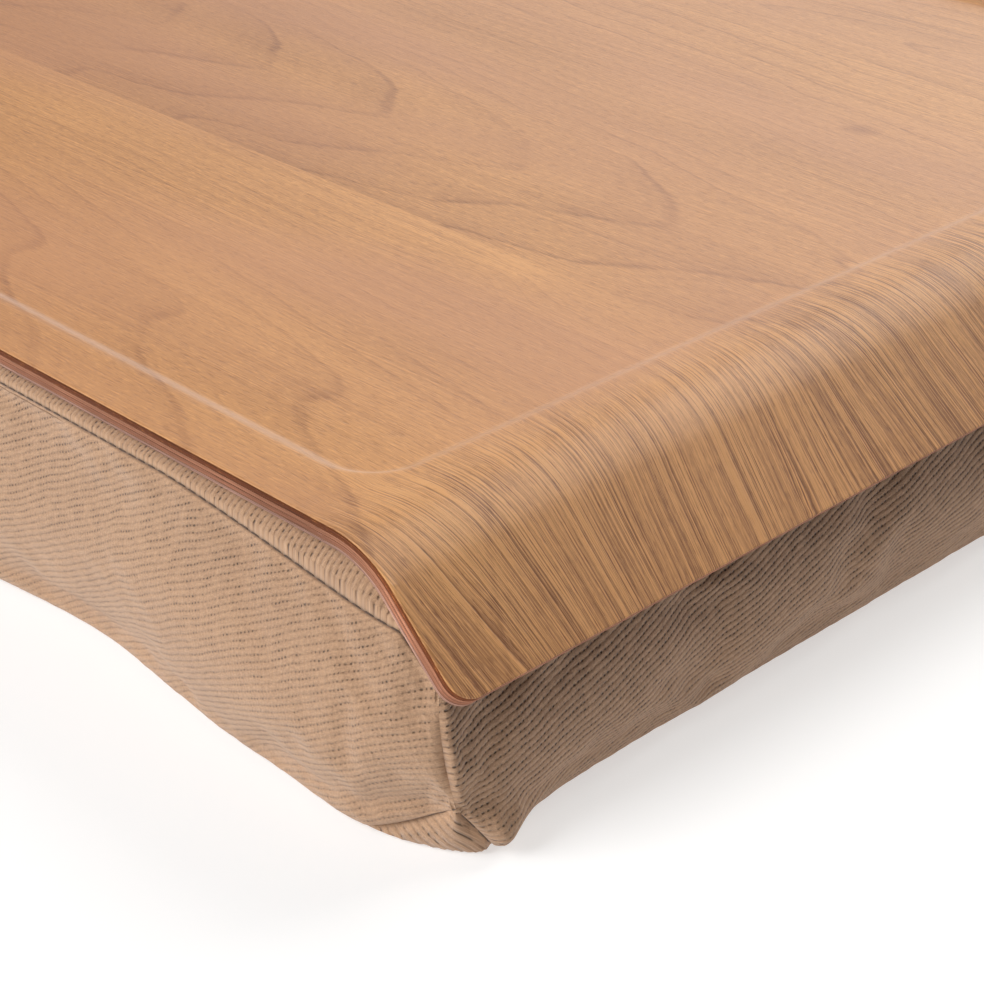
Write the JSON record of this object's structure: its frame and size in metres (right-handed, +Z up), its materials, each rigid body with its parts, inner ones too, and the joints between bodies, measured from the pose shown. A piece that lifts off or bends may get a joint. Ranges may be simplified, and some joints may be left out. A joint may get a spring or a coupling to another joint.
{
  "type": "lap desk",
  "caption": "Formed plywood lap tray with a shallow recess and down-curved ends, held by hook and loop on a boxed, bead filled twill cushion with a zip in its back.",
  "frame": {"origin": "on the surface that the cushion stands on, under the middle of the desk", "axes": "+X along the tray's length, towards the right end; +Y to the back, where the zip is; +Z up"},
  "size_m": [0.46, 0.3797, 0.064],
  "materials": {
    "veneer": "satin lacquer over warm honey coloured veneer",
    "crossply": "bare reddish brown ply, sealed at the cut edge",
    "coreply": "bare reddish brown ply, sealed at the cut edge",
    "backveneer": "matt lacquer",
    "twill": "beige cotton twill with a raised diagonal rib",
    "hooks": "woven nylon hook tape",
    "loops": "brushed nylon loop tape",
    "bag": "plain unbleached cotton",
    "beads": "expanded polystyrene beads",
    "tape": "woven zip tape",
    "teeth": "nylon coil",
    "metal": "satin nickel plate"
  },
  "bodies": {
    "cushion": {"cover_top_panel": "twill", "cover_bottom_panel": "twill", "cover_front_panel": "twill", "cover_left_panel": "twill", "cover_right_panel": "twill", "cover_back_upper_band": "twill", "cover_back_lower_band": "twill", "loop_strip_front_left": "loops", "loop_strip_front_right": "loops", "loop_strip_back_left": "loops", "loop_strip_back_right": "loops", "bag_top_sheet": "bag", "bag_bottom_sheet": "bag", "bead_fill": "beads", "zip_tape_upper": "tape", "zip_tape_lower": "tape", "zip_teeth_upper": "teeth", "zip_teeth_lower": "teeth", "zip_stop_closed_end": "teeth", "zip_stop_open_end": "teeth"},
    "tray": {"tray_face_veneer": "veneer", "tray_upper_crossply": "crossply", "tray_core_ply": "coreply", "tray_lower_crossply": "crossply", "tray_back_veneer": "backveneer", "hook_strip_front_left": "hooks", "hook_strip_front_right": "hooks", "hook_strip_back_left": "hooks", "hook_strip_back_right": "hooks"},
    "slider": {"zip_slider": "metal"},
    "pull": {"zip_pull": "metal"}
  },
  "joints": [
    {"name": "tray_lift", "type": "slide", "parent": "cushion", "child": "tray", "axis": [0, 0, 1], "range_m": [0, 0.06]},
    {"name": "zip_slide", "type": "slide", "parent": "cushion", "child": "slider", "axis": [1, 0, 0], "range_m": [0, 0.2844]},
    {"name": "zip_pull_swing", "type": "hinge", "parent": "slider", "child": "pull", "pos_m": [-0.1422, 0.18832, 0.03145], "axis": [0, 0, 1], "range_deg": [0, 170]}
  ]
}
